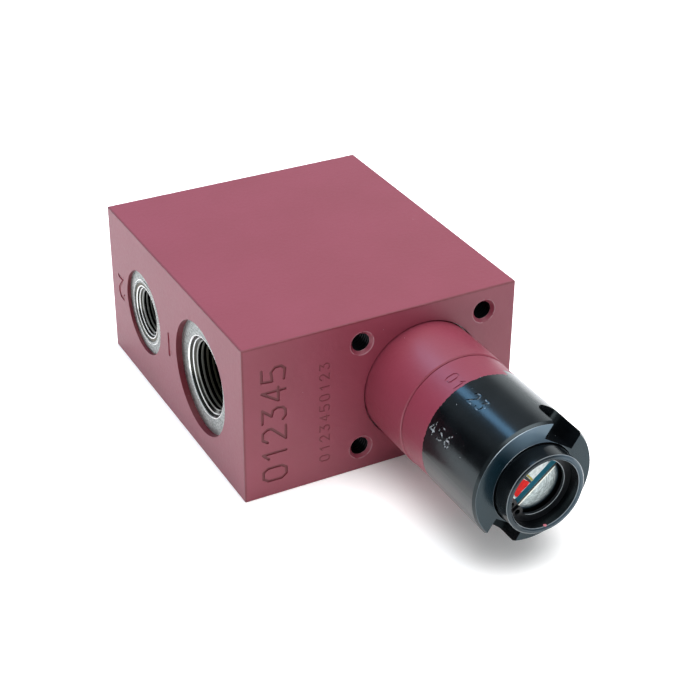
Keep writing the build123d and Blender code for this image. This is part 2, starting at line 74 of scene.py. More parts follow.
# the cartridge: its axis, and stations and radii along it
AXIS_X = 16.0
AXIS_Z = 30.0
SLEEVE_R = 22.1
SLEEVE_BORE_R = 15.0
SLEEVE_FRONT = -70.0
SLEEVE_DIGITS = -44.0
BUSH_FRONT = -77.3
BUSH_RIM = (12.6, 14.42)
CIRCLIP_FRONT = -72.28
CIRCLIP_R = 10.1
PAINT_EDGE = -38.0
PAINT_STEP = -34.2
SCREW_FACE = -69.8
DRIVE_ANGLE = math.radians(40.0)
DRIVE_HALF_WIDTH = 1.1

# linear colours
PAINT_LOW = (0.211, 0.030, 0.051)
PAINT_HIGH = (0.223, 0.033, 0.057)
# the next two are painted shade on the enamel: in recesses, along edges and in the stamped marks
PAINT_SHADE = (0.120, 0.009, 0.016)
PAINT_MARK_SHADE = (0.200, 0.016, 0.032)
# dust specks on the enamel, and also a painted highlight on the rims of the tapped holes
PAINT_DUST_AND_HIGHLIGHT = (0.46, 0.27, 0.30)
STEEL = (0.40, 0.42, 0.405)
STEEL_DARK = (0.16, 0.17, 0.165)
# painted highlight on the edges of machined steel
STEEL_HIGHLIGHT = (0.92, 0.92, 0.90)
THREAD_STEEL = (0.30, 0.28, 0.25)
# painted shade for the inside of deep holes
HOLE_SHADE = (0.010, 0.010, 0.011)
OXIDE = (0.0016, 0.0021, 0.0027)
# painted sheen on blackened steel
OXIDE_SHEEN = (0.13, 0.19, 0.24)
OXIDE_TINT = (0.78, 0.95, 1.0)
FLECK = (17.0, -136.4)


# ------------------------------------------------------------------ materials
class Look:
    """A material, its shader, and short calls for the nodes that feed it."""

    def __init__(self, name, **constants):
        self.material = bpy.data.materials.new(name)
        self.material.use_nodes = True
        self.tree = self.material.node_tree
        self.shader = self.tree.nodes["Principled BSDF"]
        for socket, value in constants.items():
            self.shader.inputs[socket.replace("_", " ")].default_value = value

    def feed(self, socket, value):
        if value is None:
            return
        if isinstance(value, bpy.types.NodeSocket):
            self.tree.links.new(value, socket)
        elif isinstance(value, tuple) and socket.type == "RGBA":
            socket.default_value = (*value, 1.0)
        else:
            socket.default_value = value

    def add(self, kind, inputs=(), **settings):
        made = self.tree.nodes.new(kind)
        for key, value in settings.items():
            setattr(made, key, value)
        for socket, value in zip(made.inputs, inputs):
            self.feed(socket, value)
        return made

    def place(self):
        """Position on the piece at rest, in millimetres of the row frame."""
        coordinates = self.add("ShaderNodeTexCoord")
        scaled = self.add("ShaderNodeVectorMath", (coordinates.outputs["Object"],), operation="SCALE")
        scaled.inputs["Scale"].default_value = 1 / MM
        return scaled.outputs[0]

    def split(self, vector):
        made = self.add("ShaderNodeSeparateXYZ", (vector,))
        return made.outputs[0], made.outputs[1], made.outputs[2]

    def join(self, x, y, z):
        return self.add("ShaderNodeCombineXYZ", (x, y, z)).outputs[0]

    def stretch(self, vector, x, y, z):
        return self.add("ShaderNodeVectorMath", (vector, (x, y, z)), operation="MULTIPLY").outputs[0]

    def calc(self, operation, a, b=None):
        return self.add("ShaderNodeMath", (a, b), operation=operation).outputs[0]

    def total(self, first, *rest):
        for value in rest:
            first = self.calc("ADD", first, value)
        return first

    def product(self, first, *rest):
        for value in rest:
            first = self.calc("MULTIPLY", first, value)
        return first

    def most(self, first, *rest):
        for value in rest:
            first = self.calc("MAXIMUM", first, value)
        return first

    def ramp(self, value, start, end):
        """Goes smoothly from 0 at start to 1 at end, whichever of them is larger."""
        low, high = (0.0, 1.0) if start < end else (1.0, 0.0)
        inputs = (value, min(start, end), max(start, end), low, high)
        return self.add("ShaderNodeMapRange", inputs, interpolation_type="SMOOTHSTEP").outputs[0]

    def band(self, value, middle, half, soft=0.1):
        """1 within half of the middle and 0 further out."""
        away = self.calc("ABSOLUTE", self.calc("SUBTRACT", value, middle))
        return self.ramp(away, half + soft, half)

    def reach(self, a, b, at):
        """Distance of the point (a, b) from a fixed point in the same plane."""
        da = self.calc("SUBTRACT", a, at[0])
        db = self.calc("SUBTRACT", b, at[1])
        return self.calc("SQRT", self.total(self.product(da, da), self.product(db, db)))

    def noise(self, vector, scale, detail=2.0, roughness=0.5):
        """Soft noise from 0 to 1; scale is in features per millimetre."""
        made = self.add("ShaderNodeTexNoise")
        self.feed(made.inputs["Vector"], vector)
        made.inputs["Scale"].default_value = scale
        made.inputs["Detail"].default_value = detail
        made.inputs["Roughness"].default_value = roughness
        return made.outputs[0]

    def specks(self, vector, scale, size, share):
        """Scattered round specks: 1 inside, 0 outside; share is how many of the cells have one."""
        made = self.add("ShaderNodeTexVoronoi")
        self.feed(made.inputs["Vector"], vector)
        made.inputs["Scale"].default_value = scale
        chance, spread, _ = self.split(made.outputs["Color"])
        radius = self.product(size, self.total(0.35, self.product(0.65, spread)))
        near = self.ramp(self.calc("DIVIDE", made.outputs["Distance"], radius), 1.0, 0.7)
        return self.product(near, self.calc("LESS_THAN", chance, share))

    def mix(self, factor, a, b):
        """Colour a where the factor is 0 and b where it is 1."""
        made = self.add("ShaderNodeMix", data_type="RGBA")
        for index, value in ((0, factor), (6, a), (7, b)):
            self.feed(made.inputs[index], value)
        return made.outputs[2]

    def blend(self, factor, a, b):
        """Number a where the factor is 0 and b where it is 1."""
        made = self.add("ShaderNodeMix", data_type="FLOAT")
        for index, value in ((0, factor), (2, a), (3, b)):
            self.feed(made.inputs[index], value)
        return made.outputs[0]

    def bump(self, height, depth, under=None):
        """Relief of that depth in millimetres, over the relief already there."""
        made = self.add("ShaderNodeBump")
        made.inputs["Distance"].default_value = depth * MM
        self.feed(made.inputs["Height"], height)
        self.feed(made.inputs["Normal"], under)
        return made.outputs[0]

    def finish(self, colour, roughness, metallic=None, normal=None):
        self.feed(self.shader.inputs["Base Color"], colour)
        self.feed(self.shader.inputs["Roughness"], roughness)
        self.feed(self.shader.inputs["Metallic"], metallic)
        self.feed(self.shader.inputs["Normal"], normal)
        return self.material


def enamel_layer(look, place):
    """Colour, roughness and relief of sprayed red enamel."""
    shade = look.ramp(look.noise(place, 0.045, 3.0, 0.55), 0.3, 0.7)
    colour = look.mix(shade, PAINT_LOW, PAINT_HIGH)
    dust = look.specks(place, 0.16, 0.035, 0.2)
    colour = look.mix(dust, colour, PAINT_DUST_AND_HIGHLIGHT)
    roughness = look.blend(look.noise(place, 0.9), 0.40, 0.50)
    peel = look.noise(place, 0.55)
    grain = look.noise(place, 3.2, 2.0, 0.6)
    height = look.total(peel, look.product(grain, 0.4), look.product(dust, 0.8))
    return colour, roughness, height


def steel_layer(look, place, radius, groove):
    """Colour, roughness and relief of steel turned about a centre, with its groove pitch in mm."""
    wander = look.product(look.noise(place, 0.35, 3.0, 0.6), 0.5)
    rings = look.calc("SINE", look.product(look.total(radius, wander), 2 * math.pi / groove))
    mottle = look.noise(place, 1.4, 4.0, 0.7)
    colour = look.mix(look.ramp(mottle, 0.36, 0.66), STEEL_DARK, STEEL)
    roughness = look.blend(mottle, 0.52, 0.32)
    height = look.total(look.product(rings, 0.4), look.product(mottle, 1.6))
    return colour, roughness, height


def block_look():
    """Enamel outside, bare machined steel in the ports, the main bore and the tapped holes."""
    look = Look("block_red_enamel", IOR=1.5)
    place = look.place()
    x, y, z = look.split(place)
    enamel, enamel_rough, enamel_height = enamel_layer(look, place)

    tank = look.reach(y, z, TANK)
    gauge = look.reach(y, z, GAUGE)
    outlet = look.reach(y, z, OUTLET)
    inlet = look.reach(x, z, INLET)
    cartridge = look.reach(x, z, (AXIS_X, AXIS_Z))
    left = look.ramp(x, -10.0, -11.0)
    right = look.ramp(x, 20.0, 21.0)
    back = look.ramp(y, 30.0, 31.0)
    front = look.ramp(y, 45.0, 44.0)
    mouth = look.ramp(y, -40.0, -41.0)
    ragged = look.product(look.noise(place, 0.8, 3.0, 0.6), 0.3)

    def inside(radius, limit, side):
        return look.product(look.ramp(look.total(radius, ragged), limit + 0.3, limit + 0.15), side)

    bolt_reaches = [
        look.reach(x, z, (AXIS_X + BOLT_SPREAD[0] * side, AXIS_Z + BOLT_SPREAD[1] * level))
        for side in (-1, 1)
        for level in (-1, 1)
    ]
    below_chamfer = look.ramp(y, FACE_Y + 1.05, FACE_Y + 1.25)
    bolts = [look.product(look.ramp(radius, 4.5, 4.4), below_chamfer, mouth) for radius in bolt_reaches]
    bare = look.most(
        inside(tank, SPOT_R, left),
        inside(gauge, GAUGE_SPOT_R, left),
        inside(outlet, SPOT_R, right),
        inside(inlet, SPOT_R, back),
        inside(cartridge, BORE_R, front),
        *bolts,
    )
    threads = look.most(
        inside(tank, SEAT_R, left),
        inside(gauge, GAUGE_SEAT_R, left),
        inside(outlet, SEAT_R, right),
        inside(inlet, SEAT_R, back),
        inside(cartridge, BORE_THREAD_R, front),
        *bolts,
    )

    # painted shade: the stamped marks are coloured a darker red, standing in for the shade in their grooves
    left_marks = look.product(
        look.ramp(x, BLOCK_LEFT + 0.03, BLOCK_LEFT + 0.12),
        look.ramp(x, BLOCK_LEFT + 0.6, BLOCK_LEFT + 0.5),
        look.most(look.band(y, 3.3, 4.2), look.band(y, 50.0, 4.2)),
        look.band(z, 30.0, 8.0),
    )
    front_marks = look.product(
        look.ramp(y, FACE_Y + 0.04, FACE_Y + 0.14),
        look.ramp(y, FACE_Y + 0.5, FACE_Y + 0.4),
        look.band(x, -31.0, 17.0),
        look.band(z, 28.0, 26.0),
    )
    # painted shade: the spotfaces' walls are coloured a darker red
    spot_walls = look.product(
        look.most(look.band(tank, SPOT_R + 0.2, 0.12), look.band(gauge, GAUGE_SPOT_R + 0.2, 0.12)),
        look.ramp(x, BLOCK_LEFT + 0.05, BLOCK_LEFT + 0.15),
        left,
    )
    enamel = look.mix(look.most(front_marks, spot_walls), enamel, PAINT_SHADE)
    enamel = look.mix(left_marks, enamel, PAINT_MARK_SHADE)
    # painted shade darkens the enamel along the edges of the faces
    edges = look.most(
        look.ramp(look.reach(x, z, (BLOCK_LEFT, BLOCK_TOP)), 0.8, 0.5),
        look.ramp(look.reach(y, z, (FACE_Y, BLOCK_TOP)), 0.8, 0.5),
        look.ramp(look.reach(x, y, (BLOCK_LEFT, FACE_Y)), 0.8, 0.5),
    )
    enamel = look.mix(look.product(edges, 0.6), enamel, PAINT_SHADE)
    # and a painted highlight lightens the rims of the tapped holes
    rim_highlights = look.most(*[look.band(radius, 4.5, 0.12, 0.15) for radius in bolt_reaches])
    rim_highlights = look.product(
        rim_highlights,
        look.ramp(y, FACE_Y + 0.3, FACE_Y + 0.1),
        look.ramp(look.noise(place, 0.5), 0.3, 0.55),
    )
    enamel = look.mix(look.product(rim_highlights, 0.4), enamel, PAINT_DUST_AND_HIGHLIGHT)

    steel, steel_rough, steel_height = steel_layer(look, place, look.blend(left, cartridge, tank), 0.6)
    steel = look.mix(threads, steel, THREAD_STEEL)
    # the left ports' threads: painted shade in the roots, crests with painted light that fades to painted
    # shade with depth, and a painted highlight on the lip
    crests = look.most(look.ramp(tank, 12.8, 12.68), look.ramp(gauge, 8.5, 8.4))
    crests = look.product(crests, left, threads)
    roots = look.product(threads, left, look.calc("SUBTRACT", 1.0, crests))
    depth = look.ramp(x, BLOCK_LEFT + 1.5, BLOCK_LEFT + 9.5)
    steel = look.mix(roots, steel, (0.040, 0.040, 0.034))
    steel = look.mix(crests, steel, look.mix(depth, (0.36, 0.37, 0.35), (0.055, 0.052, 0.036)))
    lips = look.most(look.band(tank, 13.8, 0.1, 0.08), look.band(gauge, 9.2, 0.08, 0.06))
    lips = look.product(lips, left)
    steel = look.mix(lips, steel, STEEL_HIGHLIGHT)
    # painted shade: the tapped holes are coloured near black inside
    steel = look.mix(look.most(*bolts), steel, HOLE_SHADE)
    # tool marks, and painted highlights on the edges of the seal seats
    marks = look.most(*[look.band(tank, r, 0.05, 0.1) for r in (16.4, 17.7, 19.0, 20.2)])
    steel = look.mix(look.product(marks, left, 0.55), steel, STEEL_DARK)
    groove = look.product(look.band(gauge, 10.75, 0.5, 0.15), left)
    steel = look.mix(groove, steel, (0.075, 0.068, 0.045))
    seats = look.most(
        look.band(tank, SEAT_R - 0.05, 0.16),
        look.band(gauge, GAUGE_SEAT_R - 0.05, 0.14),
        look.band(gauge, 12.4, 0.08),
    )
    seats = look.product(seats, left)
    steel = look.mix(seats, steel, STEEL_HIGHLIGHT)
    steel_rough = look.blend(threads, steel_rough, 0.2)
    steel_rough = look.blend(seats, steel_rough, 0.25)
    steel_height = look.product(steel_height, look.blend(threads, 1.0, 0.15))

    colour = look.mix(bare, enamel, steel)
    roughness = look.blend(bare, enamel_rough, steel_rough)
    relief = look.bump(look.product(enamel_height, look.calc("SUBTRACT", 1.0, bare)), 0.05)
    relief = look.bump(look.product(steel_height, bare), 0.03, relief)
    lit = look.product(look.most(crests, lips), 0.75)
    metallic = look.product(bare, look.calc("SUBTRACT", 1.0, lit))
    return look.finish(colour, roughness, metallic, relief)


def body_look():
    """Enamel on the cartridge head that shows, bare turned steel on the rest."""
    look = Look("cartridge_red_enamel", IOR=1.5)
    place = look.place()
    x, y, z = look.split(place)
    radius = look.reach(x, z, (AXIS_X, AXIS_Z))
    enamel, enamel_rough, enamel_height = enamel_layer(look, place)
    steel, steel_rough, steel_height = steel_layer(look, place, y, 0.4)
    bare = look.most(look.ramp(radius, 21.7, 21.6), look.ramp(y, FACE_Y + 1.4, FACE_Y + 1.6))
    colour = look.mix(bare, enamel, steel)
    roughness = look.blend(bare, enamel_rough, steel_rough)
    relief = look.bump(look.product(enamel_height, look.calc("SUBTRACT", 1.0, bare)), 0.05)
    relief = look.bump(look.product(steel_height, bare), 0.02, relief)
    return look.finish(colour, roughness, bare, relief)


def oxide_layer(look, place, radius, y):
    """Colour, roughness and relief of blackened turned steel."""
    lathe = look.noise(look.join(look.product(radius, 4.0), look.product(y, 4.0), 0.0), 1.0, 3.0, 0.7)
    cloud = look.noise(place, 0.12, 3.0, 0.6)
    worn = look.specks(place, 0.42, 0.085, 0.40)
    colour = look.mix(look.ramp(cloud, 0.35, 0.7), OXIDE, (0.0035, 0.0045, 0.0055))
    colour = look.mix(worn, colour, (0.42, 0.46, 0.48))
    roughness = look.blend(lathe, 0.15, 0.24)
    return colour, roughness, lathe, worn


def sleeve_look():
    """Blackened steel, with the block's enamel sprayed over the end next to the block."""
    look = Look("sleeve_black_oxide", IOR=1.42)
    look.feed(look.shader.inputs["Specular Tint"], OXIDE_TINT)
    place = look.place()
    x, y, z = look.split(place)
    radius = look.reach(x, z, (AXIS_X, AXIS_Z))
    angle = look.calc("ARCTAN2", look.calc("SUBTRACT", z, AXIS_Z), look.calc("SUBTRACT", x, AXIS_X))
    enamel, enamel_rough, enamel_height = enamel_layer(look, place)
    oxide, oxide_rough, lathe, worn = oxide_layer(look, place, radius, y)

    # ragged edge of the overspray, which steps back on the side away from the ports
    rag = look.product(look.calc("SUBTRACT", look.noise(place, 0.9, 4.0, 0.65), 0.5), 1.6)
    step = look.product(look.band(angle, 0.0, math.radians(63.0), 0.03), PAINT_STEP - PAINT_EDGE)
    edge = look.total(FACE_Y + PAINT_EDGE, step, rag)
    enamelled = look.product(
        look.ramp(look.calc("SUBTRACT", y, edge), -0.06, 0.06),
        look.ramp(radius, SLEEVE_R - 0.7, SLEEVE_R - 0.6),
    )

    # the punch has broken through the black in the stamped digits: bare steel, with painted glints that are
    # brighter on the lower row
    punched = look.product(
        look.ramp(radius, SLEEVE_R - 0.03, SLEEVE_R - 0.14),
        look.ramp(radius, SLEEVE_R - 0.5, SLEEVE_R - 0.45),
        look.band(y, FACE_Y + SLEEVE_DIGITS, 10.0),
    )
    punch_wear_and_glints = look.ramp(look.noise(place, 0.9), 0.42, 0.62)
    punch_wear_and_glints = look.product(punch_wear_and_glints, look.blend(look.ramp(angle, 2.2, 2.4), 0.25, 1.0))
    oxide = look.mix(look.product(punched, punch_wear_and_glints), oxide, (0.50, 0.53, 0.55))

    # the end face is bluer, with a painted sheen at the top standing in for a reflection, and painted
    # highlights on its corners
    face = look.ramp(y, FACE_Y + SLEEVE_FRONT + 0.06, FACE_Y + SLEEVE_FRONT + 0.03)
    oxide = look.mix(face, oxide, (0.004, 0.014, 0.021))
    sheen = look.product(face, look.band(angle, math.radians(88.0), 0.15, 0.7))
    oxide = look.mix(look.product(sheen, 0.85), oxide, OXIDE_SHEEN)
    corners = look.most(
        look.band(radius, SLEEVE_R - 0.64, 0.07, 0.06),
        look.band(radius, SLEEVE_BORE_R + 0.02, 0.1, 0.08),
    )
    corners = look.product(corners, face)
    glint = look.blend(look.band(angle, math.radians(118.0), 0.15, 0.4), 0.1, 1.0)
    oxide = look.mix(look.product(corners, glint), oxide, (0.66, 0.74, 0.80))

    colour = look.mix(enamelled, oxide, enamel)
    roughness = look.blend(enamelled, oxide_rough, enamel_rough)
    relief = look.bump(look.product(enamel_height, enamelled), 0.05)
    relief = look.bump(enamelled, 0.08, relief)
    plain = look.calc("SUBTRACT", 1.0, enamelled)
    relief = look.bump(look.product(look.total(lathe, worn), plain), 0.012, relief)
    return look.finish(colour, roughness, None, relief)


def bush_look():
    """Blackened steel, with a painted sheen on the mouth of the bush, lighter to the right and with painted
    shade at the top, and painted highlights on its edges.
    """
    look = Look("bush_black_oxide", IOR=1.38)
    look.feed(look.shader.inputs["Specular Tint"], OXIDE_TINT)
    place = look.place()
    x, y, z = look.split(place)
    radius = look.reach(x, z, (AXIS_X, AXIS_Z))
    oxide, roughness, lathe, worn = oxide_layer(look, place, radius, y)
    # painted sheen on the rim, lighter to the right, with painted shade at the top
    rim = look.ramp(y, FACE_Y + BUSH_FRONT + 0.65, FACE_Y + BUSH_FRONT + 0.5)
    rings = look.noise(look.join(look.product(radius, 6.0), 0.0, 0.0), 1.0, 2.0, 0.7)
    lit = look.blend(look.ramp(x, 4.0, 24.0), 0.12, 0.38)
    shaded = look.product(look.ramp(z, AXIS_Z + 5.0, AXIS_Z + 11.0), look.ramp(x, 23.0, 16.0))
    lit = look.product(lit, look.blend(shaded, 1.0, 0.2))
    colour = look.mix(look.product(rim, lit, look.total(0.4, rings)), oxide, OXIDE_SHEEN)
    # painted highlights on the rim's edges
    edges = look.product(look.most(*[look.band(radius, r, 0.07, 0.05) for r in BUSH_RIM]), rim)
    colour = look.mix(look.product(edges, 0.35), colour, (0.55, 0.60, 0.62))
    # fleck of stray enamel in the mouth of the bore
    fleck = look.ramp(look.reach(x, y, FLECK), 0.65, 0.45)
    fleck = look.product(fleck, look.ramp(z, 22.0, 21.0), look.ramp(radius, 13.2, 13.0))
    colour = look.mix(fleck, colour, (0.72, 0.22, 0.26))
    relief = look.bump(look.total(lathe, worn), 0.012)
    return look.finish(colour, roughness, None, relief)


def screw_look():
    """Turned steel face with painted shade towards its rim, a blued drive slot with a painted shadow and a
    painted highlight beside it, and steel threads.
    """
    look = Look("screw_turned_steel", IOR=1.5)
    place = look.place()
    x, y, z = look.split(place)
    radius = look.reach(x, z, (AXIS_X, AXIS_Z))
    steel, steel_rough, steel_height = steel_layer(look, place, radius, 0.45)
    face_y = FACE_Y + SCREW_FACE
    face = look.ramp(y, face_y + 0.8, face_y + 0.7)
    path = look.join(look.product(radius, 5.0), look.product(x, 0.6), look.product(z, 0.6))
    grain = look.ramp(look.noise(path, 1.0, 3.0, 0.7), 0.3, 0.7)
    steel = look.mix(face, steel, look.mix(grain, (0.22, 0.27, 0.27), (0.80, 0.88, 0.87)))
    # painted shade, darkening the face towards its rim
    steel = look.mix(look.product(face, look.ramp(radius, 7.4, 9.4)), steel, (0.030, 0.055, 0.075))
    steel = look.mix(look.product(face, look.ramp(radius, 9.2, 9.6)), steel, (0.004, 0.005, 0.006))
    dx = look.calc("SUBTRACT", x, AXIS_X)
    dz = look.calc("SUBTRACT", z, AXIS_Z)
    across = look.calc(
        "SUBTRACT",
        look.product(dz, math.cos(DRIVE_ANGLE)),
        look.product(dx, math.sin(DRIVE_ANGLE)),
    )
    slot = look.product(
        look.band(across, 0.0, DRIVE_HALF_WIDTH + 0.02, 0.01),
        look.ramp(y, face_y + 0.02, face_y + 0.1),
        look.ramp(y, face_y + 2.8, face_y + 2.7),
    )
    steel = look.mix(slot, steel, (0.10, 0.40, 0.50))
    # painted shadow and painted highlight on the face beside the drive slot
    shadow = look.product(look.band(across, -1.5, 0.35, 0.05), face)
    bright = look.product(look.band(across, -2.1, 0.22, 0.06), face)
    steel = look.mix(look.product(bright, look.ramp(radius, 9.0, 8.6)), steel, (0.95, 0.95, 0.84))
    steel = look.mix(shadow, steel, (0.010, 0.010, 0.008))
    metallic = look.calc("SUBTRACT", 0.9, look.product(look.most(slot, shadow), 0.9))
    relief = look.bump(steel_height, 0.02)
    return look.finish(steel, steel_rough, metallic, relief)


def turned_steel_look(name, light, dark, groove, roughness):
    """Turned, lightly oiled steel for the parts inside the cartridge."""
    look = Look(name)
    place = look.place()
    x, y, z = look.split(place)
    radius = look.reach(x, z, (AXIS_X, AXIS_Z))
    path = look.total(radius, y, look.product(look.noise(place, 0.3, 3.0), 0.4))
    rings = look.calc("SINE", look.product(path, 2 * math.pi / groove))
    mottle = look.noise(place, 0.9, 4.0, 0.65)
    colour = look.mix(look.ramp(mottle, 0.3, 0.7), dark, light)
    rough = look.blend(mottle, roughness + 0.08, roughness - 0.06)
    relief = look.bump(look.total(rings, mottle), 0.008)
    return look.finish(colour, rough, 1.0, relief)


def circlip_look():
    """Phosphated spring steel, with a painted highlight along the ring's inner edge."""
    look = Look("circlip_phosphate", IOR=1.35)
    place = look.place()
    x, y, z = look.split(place)
    radius = look.reach(x, z, (AXIS_X, AXIS_Z))
    cloud = look.noise(place, 0.8, 4.0, 0.6)
    colour = look.mix(look.ramp(cloud, 0.3, 0.7), (0.004, 0.005, 0.006), (0.010, 0.011, 0.013))
    lugs = look.reach(x, z, (AXIS_X - 8.5, AXIS_Z - 5.8))
    front_y = FACE_Y + CIRCLIP_FRONT
    # painted highlight on the front face's inner edge, away from the lugs
    edge = look.product(
        look.ramp(radius, CIRCLIP_R + 0.12, CIRCLIP_R),
        look.ramp(y, front_y + 0.08, front_y),
        look.ramp(lugs, 5.4, 6.2),
    )
    colour = look.mix(look.product(edge, look.ramp(cloud, 0.2, 0.5)), colour, (0.55, 0.60, 0.62))
    return look.finish(colour, look.blend(cloud, 0.28, 0.4), None, look.bump(cloud, 0.01))


def rubber_look():
    """Moulded nitrile rubber with a faint bloom."""
    look = Look("nitrile_rubber", IOR=1.52)
    place = look.place()
    bloom = look.noise(place, 0.4, 3.0, 0.6)
    grain = look.noise(place, 5.0, 2.0, 0.6)
    colour = look.mix(look.ramp(bloom, 0.4, 0.75), (0.010, 0.010, 0.011), (0.030, 0.030, 0.032))
    roughness = look.blend(grain, 0.45, 0.62)
    return look.finish(colour, roughness, None, look.bump(grain, 0.015))


def plastic_look():
    """Skived PTFE of the back-up rings: milky, with fine cutting lines."""
    look = Look("ptfe_backup", IOR=1.38)
    place = look.place()
    x, y, z = look.split(place)
    radius = look.reach(x, z, (AXIS_X, AXIS_Z))
    lines = look.calc("SINE", look.product(radius, 2 * math.pi / 0.12))
    cloud = look.noise(place, 0.5, 3.0, 0.6)
    colour = look.mix(cloud, (0.62, 0.61, 0.57), (0.78, 0.77, 0.74))
    roughness = look.blend(cloud, 0.38, 0.52)
    return look.finish(colour, roughness, None, look.bump(look.total(lines, cloud), 0.006))


def lacquer_look(name, low, high, roughness):
    """Brushed-on sealing lacquer, thicker and darker in patches; the same finish serves the painted shadow
    and painted reflection films.
    """
    look = Look(name, IOR=1.3)
    place = look.place()
    cloud = look.noise(place, 0.9, 3.0, 0.6)
    colour = look.mix(look.ramp(cloud, 0.35, 0.65), low, high)
    ripple = look.noise(look.stretch(place, 2.4, 1.0, 0.8), 1.0, 3.0, 0.6)
    rough = look.blend(cloud, roughness, roughness + 0.12)
    return look.finish(colour, rough, None, look.bump(ripple, 0.05))


def floor_look():
    """Matt white sweep with a barely visible grain, glowing, with the glow dimmed by ambient occlusion into
    a painted contact shadow near the part.
    """
    look = Look("floor_white", Roughness=0.9, Specular_IOR_Level=0.1)
    look.shader.inputs["Emission Color"].default_value = (1.0, 0.99, 0.97, 1.0)
    open_sky = look.add("ShaderNodeAmbientOcclusion", samples=8)
    open_sky.inputs["Distance"].default_value = 24.0 * MM
    glow = look.product(open_sky.outputs["AO"], 0.47)
    look.feed(look.shader.inputs["Emission Strength"], glow)
    place = look.place()
    grain = look.noise(place, 0.05, 3.0, 0.6)
    colour = look.mix(grain, (0.89, 0.88, 0.86), (0.91, 0.90, 0.88))
    return look.finish(colour, None)


def dress(looks):
    """Give every CAD node its material, through its object's own slots."""
    for material, names in looks:
        for name in names:
            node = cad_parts[name]
            if not node.material_slots:
                node.data.materials.append(material)
            for slot in node.material_slots:
                slot.material = material


dress(
    [
        (block_look(), ["valve_block"]),
        (body_look(), ["cartridge_body"]),
        (sleeve_look(), ["adjuster_sleeve"]),
        (bush_look(), ["guide_bush"]),
        (screw_look(), ["adjusting_screw"]),
        (
            turned_steel_look("turned_steel", (0.56, 0.56, 0.54), (0.34, 0.34, 0.33), 0.35, 0.28),
            [
                "anti_rotation_pin", "throttle_stem", "throttle_head", "head_lock_nut",
                "metering_cage", "compensator_spool", "spring_seat", "adjusting_shim",
            ],
        ),
        (
            turned_steel_look("spring_steel", (0.060, 0.062, 0.066), (0.022, 0.023, 0.026), 0.9, 0.34),
            ["coupling_ring", "spool_stop_ring", "compensator_spring"],
        ),
        (circlip_look(), ["screw_retaining_ring"]),
        (
            rubber_look(),
            ["screw_o_ring", "bush_o_ring", "body_o_ring", "cage_o_ring_tank", "cage_o_ring_inlet"],
        ),
        (
            plastic_look(),
            [
                "screw_backup_ring", "body_backup_ring",
                "cage_backup_ring_tank", "cage_backup_ring_inlet",
            ],
        ),
    ]
)


# --------------------------------------------------------------------- pieces
def add_mesh(name, bm, material, smooth=True):
    """Turn a bmesh in the row frame into an object with one material."""
    bmesh.ops.recalc_face_normals(bm, faces=bm.faces)
    for face in bm.faces:
        face.smooth = smooth
    data = bpy.data.meshes.new(name)
    bm.to_mesh(data)
    bm.free()
    data.materials.append(material)
    made = bpy.data.objects.new(name, data)
    bpy.context.scene.collection.objects.link(made)
    return made


def cartridge_point(dx, station, dz):
    """Point offset from the cartridge axis by (dx, dz) mm at a station, in metres."""
    return Vector(((AXIS_X + dx) * MM, (FACE_Y + station) * MM, (AXIS_Z + dz) * MM))


def smooth_loop(corners, steps):
    """Closed Catmull-Rom curve through the corners."""
    points = []
    count = len(corners)
    for i in range(count):
        a, b, c, d = (Vector(corners[(i + k) % count]) for k in (-1, 0, 1, 2))
        for k in range(steps):
            t = k / steps
            square = (2 * a - 5 * b + 4 * c - d) * t * t
            cube = (3 * b - a - 3 * c + d) * t**3
            points.append(0.5 * (2 * b + (c - a) * t + square + cube))
    return points


def film(name, corners, thickness, material):
    """Low dome of a film on the screw's face (the lacquers, the painted shadow film and the painted
    reflection film); corners are (dx, dz) mm from the axis.
    """
    outline = smooth_loop(corners, 6)
    middle = sum(outline, Vector((0, 0))) / len(outline)
    bm = bmesh.new()
    rings = []
    bite = 0.02
    for share, height in (
        (1.0, -bite),
        (1.0, 0.0),
        (0.94, 0.6 * thickness),
        (0.82, 0.9 * thickness),
        (0.5, thickness),
    ):
        ring = [middle + (p - middle) * share for p in outline]
        rings.append([bm.verts.new(cartridge_point(p.x, SCREW_FACE - height, p.y)) for p in ring])
    for lower, upper in zip(rings, rings[1:]):
        for k in range(len(outline)):
            n = (k + 1) % len(outline)
            bm.faces.new((lower[k], lower[n], upper[n], upper[k]))
    top = bm.verts.new(cartridge_point(middle.x, SCREW_FACE - thickness, middle.y))
    foot = bm.verts.new(cartridge_point(middle.x, SCREW_FACE + bite, middle.y))
    for k in range(len(outline)):
        n = (k + 1) % len(outline)
        bm.faces.new((rings[-1][k], rings[-1][n], top))
        bm.faces.new((rings[0][n], rings[0][k], foot))
    made = add_mesh(name, bm, material)
    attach(made, "screw")
    return made


def on_face(along, across):
    """(dx, dz) on the screw's face of a point along and across the drive slot."""
    c, s = math.cos(DRIVE_ANGLE), math.sin(DRIVE_ANGLE)
    return along * c - across * s, along * s + across * c


film(
    "lacquer_red",
    [
        on_face(*p)
        for p in ((-6.9, 1.3), (-6.0, 4.6), (-3.2, 6.6), (-1.4, 5.2), (-0.9, 3.2), (-0.8, 1.3), (-4.0, 1.25))
    ],
    0.07,
    lacquer_look("lacquer_red", (0.66, 0.004, 0.003), (0.84, 0.010, 0.006), 0.5),
)
